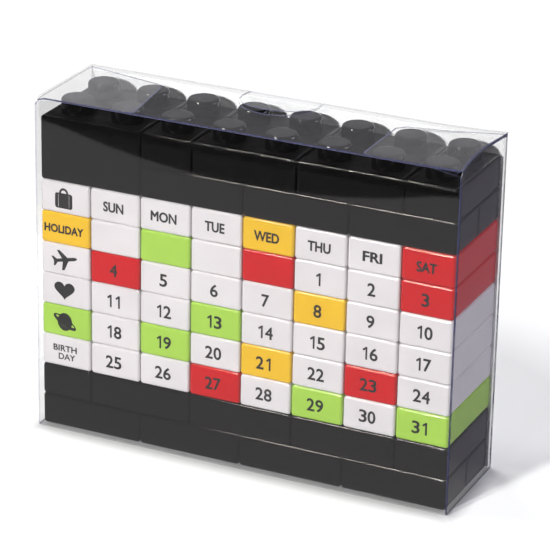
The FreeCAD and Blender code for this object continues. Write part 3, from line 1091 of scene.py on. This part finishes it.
class CALENDAR_OT_lid(bpy.types.Operator):
    """The lid with its tuck flap"""
    bl_idname = "calendar.lid"
    bl_label = "Lid and tuck flap"

    def execute(self, context):
        sizes = context.scene.calendar_case
        lid = flat_sheet("film_lid", LID_LOW, LID_HIGH, 52, 14, context)
        for side, edge in ((-1, LID_LOW.x), (1, LID_HIGH.x)):
            cut_corner(lid, (edge, LID_LOW.y, LID_HIGH.z), ((side, 0, 0), (0, -1, 0)),
                       sizes.lid_corner, 3)
        fold_line = LID_LOW.y + sizes.crease
        slit(lid, (0, fold_line, 0), (0, 1, 0))
        slit(lid, (0, LID_HIGH.y - sizes.crease / 2, 0), (0, 1, 0))
        film_sheet(lid, sizes.film)
        centre = Vector((-sizes.moon_shift, LID_HIGH.y - sizes.moon_depth, LID_LOW.z))
        opening = CALENDAR_OT_case.disc(centre, sizes.moon + sizes.moon_gap, context)
        combine(lid, opening, "DIFFERENCE")
        give_material(lid, LID_PANEL, lambda face: face.material_index == PANEL)
        give_material(lid, CREASE, lambda face: face.center.y < fold_line)
        give_material(lid, SOFT_FOLD, lambda face: near(face.center.x, LID_LOW.x)
                      or face.center.y > LID_HIGH.y - sizes.crease / 2)
        give_material(lid, CREASE, lambda face: near(face.center.x, LID_HIGH.x))
        for vertex in lid.data.vertices:
            vertex.co.z += lid_spring(vertex.co.x, vertex.co.y, sizes)
        smooth(lid, 40)
        finish(lid, "lid", ["case_lid"])
        tuck = flat_sheet("film_tuck_flap", TUCK_LOW, TUCK_HIGH, 52, 6, context, upright=True)
        for side, edge in ((-1, TUCK_LOW.x), (1, TUCK_HIGH.x)):
            cut_corner(tuck, (edge, TUCK_LOW.y, TUCK_LOW.z), ((side, 0, 0), (0, 0, -1)),
                       sizes.tuck_corner, 5)
        film_sheet(tuck, sizes.film, rim=PANEL)
        for vertex in tuck.data.vertices:
            rising = share_of(vertex.co.z, TUCK_LOW.z, TUCK_HIGH.z)
            vertex.co.y -= sizes.tuck_spring * (1 - rising)
            vertex.co.z += rising * lid_spring(vertex.co.x, LID_LOW.y, sizes)
        smooth(tuck, 40)
        finish(tuck, "tuck", ["tuck_flap"])
        return {"FINISHED"}


class CALENDAR_OT_dust_flaps(bpy.types.Operator):
    """Two flaps folded in from the side walls under the lid"""
    bl_idname = "calendar.dust_flaps"
    bl_label = "Dust flaps"

    def execute(self, context):
        sizes = context.scene.calendar_case
        for name, side, skew in (("left", -1, sizes.dust_skew), ("right", 1, 0.0)):
            node = "dust_flap_" + name
            low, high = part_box(node)
            flap = flat_sheet("film_" + node, low, high, 16, 12, context)
            fold, tip = (low.x, high.x) if side < 0 else (high.x, low.x)
            for edge, turn in ((low.y, -1), (high.y, 1)):
                cut_corner(flap, (tip, edge, high.z), ((-side, 0, 0), (0, turn, 0)),
                           sizes.dust_corner, 1)
            slit(flap, (fold - side * sizes.crease, 0, 0), (1, 0, 0))
            slit(flap, (tip + side * sizes.film, 0, 0), (1, 0, 0))
            film_sheet(flap, sizes.film)
            panel, crease = (SCUFFED, SOFT_FOLD) if side < 0 else (LID_PANEL, CREASE)
            give_material(flap, CUT_EDGE, lambda face: abs(face.center.x - tip) < sizes.film)
            give_material(flap, panel, lambda face: face.material_index == PANEL)
            give_material(flap, crease, lambda face: abs(face.center.x - fold) < sizes.crease)
            for vertex in flap.data.vertices:
                x, y, z = vertex.co
                out = share_of(x, fold, tip)
                back = share_of(y, low.y, high.y)
                vertex.co.y -= sizes.dust_taper * back * out
                vertex.co.x += side * skew * back * out
                if side > 0:
                    vertex.co.x -= side_pull(y, sizes) * (1 - out) ** 4
                vertex.co.z += lid_spring(*vertex.co.xy, sizes)
            smooth(flap, 40)
            finish(flap, "dust_" + name, [node])
        return {"FINISHED"}


class CALENDAR_OT_card(bpy.types.Operator):
    """Blank card behind the bricks"""
    bl_idname = "calendar.card"
    bl_label = "Backing card"

    def execute(self, context):
        item = rounded_block("backing_card_sheet", CARD_LOW, CARD_HIGH, 0.05 * MM, 1)
        paint(item, finishes(context.scene)["card_fibre"])
        finish(item, "case", ["backing_card"])
        return {"FINISHED"}


# Stage

def lamp(name, kind, place, target, **settings):
    """A lamp at a place, turned to a target."""
    data = bpy.data.lights.new(name, kind)
    for key, value in settings.items():
        setattr(data, key, value)
    item = bpy.data.objects.new(name, data)
    bpy.context.scene.collection.objects.link(item)
    item.location = place
    item.rotation_euler = (Vector(place) - Vector(target)).to_track_quat("Z", "Y").to_euler()
    return item


def floor_material(settings):
    """White to the eye, with the object's shadow, and a glowing grey floor in reflections that is
    dimmer behind as painted shade.

    Near the object the eye sees the lit floor. Its colour is darker close to the object as painted
    shade, and a little painted light of its own is added in front of the object and right of it.
    Farther out that light takes over, so that the floor ends in plain white.
    """
    tree = Tree(bpy.data.materials.new("pale_floor"))
    shaded, pale = settings.floor_shaded, settings.floor_open
    place = tree.add("SeparateXYZ", Vector=tree.add("TexCoord").outputs["Object"]).outputs
    x, y = place["X"], place["Y"]
    squares = tree.maths("ADD", tree.maths("MULTIPLY", x, x), tree.maths("MULTIPLY", y, y))
    radius = tree.maths("SQRT", squares, 0)
    # Painted shade: the floor's colour is darker close to the object, where its contact shadow
    # falls, and turns from shaded to open across each side of the object
    cover = shaded
    for across, start, end in ((y, -0.018, -0.025), (y, 0.0, 0.01), (x, 0.062, 0.07),
                               (x, -0.064, -0.068)):
        cover = tree.maths("MAXIMUM", cover, tree.ramp(across, start, end, shaded, pale))
    fading = tree.maths("MULTIPLY", cover, tree.ramp(radius, 0.142, 0.22, 1, 0))
    tone = tree.add("CombineColor", Red=fading, Green=fading, Blue=fading).outputs[0]
    lit = tree.add("BsdfDiffuse", Color=tone).outputs[0]
    # The floor's own light: far out it rises to the white backdrop; in front of the object and
    # right of it, up to the edge of its shadow, it is painted light
    away = tree.ramp(radius, 0.1, 0.22, 0.1, 1.06)
    before = tree.ramp(y, -0.0165, -0.0225, 0, 0.25)
    painted_light_right = tree.maths("MULTIPLY", tree.ramp(x, 0.0655, 0.0695, 0, 1),
                        tree.ramp(y, 0.021, 0.005, 0.015, 0.27))
    strength = tree.maths("ADD", away, tree.maths("MAXIMUM", before, painted_light_right))
    glow = tree.add("Emission", Color=(1, 1, 1), Strength=strength).outputs[0]
    bright = tree.add("AddShader")
    tree.links.new(lit, bright.inputs[0])
    tree.links.new(glow, bright.inputs[1])
    # Painted shade in reflections: the glowing floor seen in reflections is dimmer behind the
    # object, where its shadow falls
    front = tree.add("Emission", Color=(1, 0.97, 0.98), Strength=settings.floor_near).outputs[0]
    painted_shade_rear = tree.add("Emission", Color=(0.94, 0.91, 1.06), Strength=settings.floor_far).outputs[0]
    mirrored = tree.blend(tree.ramp(y, -0.02, 0.02, 0, 1), front, painted_shade_rear)
    bounce = tree.add("BsdfDiffuse", Color=(shaded, shaded, shaded)).outputs[0]
    return tree.end(tree.by_ray(bright.outputs[0], mirrored, bounce))


def room_light(settings):
    """White backdrop for the eye, soft even light on the object, a dimmer room in reflections."""
    tree = Tree(bpy.data.worlds.new("studio"), "ShaderNodeOutputWorld")
    direction = tree.add("SeparateXYZ", Vector=tree.add("TexCoord").outputs["Generated"]).outputs
    behind = tree.ramp(direction["Y"], -0.2, 0.4, 0, 1)
    left = tree.ramp(direction["X"], 0.25, -0.1, 0, 1)
    strength = tree.maths("MULTIPLY", tree.maths("MULTIPLY", behind, left), settings.backdrop)
    white = tree.add("Background", Color=(1, 1, 1), Strength=1.0).outputs[0]
    mirrored = tree.add("Background", Color=(0.95, 0.93, 1.0), Strength=strength).outputs[0]
    even = tree.add("Background", Color=(1, 1, 1), Strength=settings.room).outputs[0]
    bpy.context.scene.world = tree.end(tree.by_ray(white, mirrored, even))


def stage_camera(settings):
    """The camera at the photograph's place, turned to its target and then rolled."""
    azimuth, elevation, roll = settings.azimuth, settings.elevation, settings.roll
    back = Vector((math.sin(azimuth) * math.cos(elevation),
                   -math.cos(azimuth) * math.cos(elevation), math.sin(elevation)))
    right = Vector((math.cos(azimuth), math.sin(azimuth), 0))
    up = back.cross(right)
    turned_right = math.cos(roll) * right + math.sin(roll) * up
    turned_up = math.cos(roll) * up - math.sin(roll) * right
    data = bpy.data.cameras.new("camera")
    data.lens = settings.lens
    data.sensor_width = 36
    data.clip_start, data.clip_end = 0.01, 50
    camera = bpy.data.objects.new("camera", data)
    bpy.context.scene.collection.objects.link(camera)
    turn = Matrix((turned_right, turned_up, back)).transposed().to_4x4()
    camera.matrix_world = Matrix.Translation(
        Vector(settings.target) + back * settings.distance) @ turn
    bpy.context.scene.camera = camera


class CALENDAR_OT_stage(bpy.types.Operator):
    """Floor, lamps and camera"""
    bl_idname = "calendar.stage"
    bl_label = "Stage"

    def execute(self, context):
        settings = context.scene.calendar_stage
        width, depth = 3.0, 2.2
        bpy.ops.mesh.primitive_grid_add(x_subdivisions=40, y_subdivisions=2, size=1)
        floor = active_piece("floor")
        floor.scale = (width, depth, 1)
        floor.location = (0, depth / 2 + settings.floor_edge, 0)
        apply_place(floor)
        paint(floor, floor_material(settings))
        centre = (0, 0, 55 * MM)
        lamp("key", "AREA", (-0.25, -0.95, 0.52), centre, shape="DISK", size=0.09,
             energy=settings.key_power)
        overhead = lamp("overhead", "AREA", (-0.315, 0.125, 0.85), (-0.315, 0.125, 0),
                        shape="RECTANGLE", size=0.11, size_y=0.55, energy=settings.overhead_power)
        overhead.visible_glossy = False
        strip = lamp("strip", "AREA", (-0.305, -0.29, 0.85), (-0.305, -0.29, 0), shape="RECTANGLE",
                     size=0.17, size_y=0.42, energy=settings.strip_power, color=(1, 0.95, 0.86))
        strip.visible_diffuse = False
        lamp("fill", "AREA", (0.85, 0.32, 0.4), centre, shape="DISK", size=0.5,
             energy=settings.fill_power, color=(0.93, 0.92, 1.08))
        room_light(settings)
        stage_camera(settings)
        context.scene.view_settings.view_transform = "Standard"
        return {"FINISHED"}


class CALENDAR_PT_steps(bpy.types.Panel):
    """Steps and sizes of the calendar"""
    bl_idname = "CALENDAR_PT_steps"
    bl_label = "Brick calendar"
    bl_space_type = "VIEW_3D"
    bl_region_type = "UI"
    bl_category = "Calendar"

    def draw(self, context):
        for step in STEPS:
            self.layout.operator(step.bl_idname)
        for topic in GROUPS:
            box = self.layout.box()
            for name in GROUPS[topic].__annotations__:
                box.prop(getattr(context.scene, topic), name)


STEPS = (CALENDAR_OT_base, CALENDAR_OT_crown, CALENDAR_OT_dates, CALENDAR_OT_numbers,
         CALENDAR_OT_words, CALENDAR_OT_pictures, CALENDAR_OT_card, CALENDAR_OT_case,
         CALENDAR_OT_lid, CALENDAR_OT_dust_flaps, CALENDAR_OT_stage)
GROUPS = {"calendar_bricks": BrickSizes, "calendar_prints": PrintSizes,
          "calendar_colours": PlasticColours, "calendar_case": CaseSizes,
          "calendar_stage": StageSettings}


def register():
    """Adds the settings, steps and panel to Blender."""
    for topic, group in GROUPS.items():
        bpy.utils.register_class(group)
        setattr(bpy.types.Scene, topic, PointerProperty(type=group))
    for step in STEPS:
        bpy.utils.register_class(step)
    bpy.utils.register_class(CALENDAR_PT_steps)


def unregister():
    """Takes them away again."""
    bpy.utils.unregister_class(CALENDAR_PT_steps)
    for step in reversed(STEPS):
        bpy.utils.unregister_class(step)
    for topic, group in GROUPS.items():
        delattr(bpy.types.Scene, topic)
        bpy.utils.unregister_class(group)


def main():
    """Runs all steps in order."""
    register()
    bpy.ops.object.select_all(action="DESELECT")
    for step in STEPS:
        topic, name = step.bl_idname.split(".")
        getattr(getattr(bpy.ops, topic), name)()


if __name__ == "__main__":
    main()
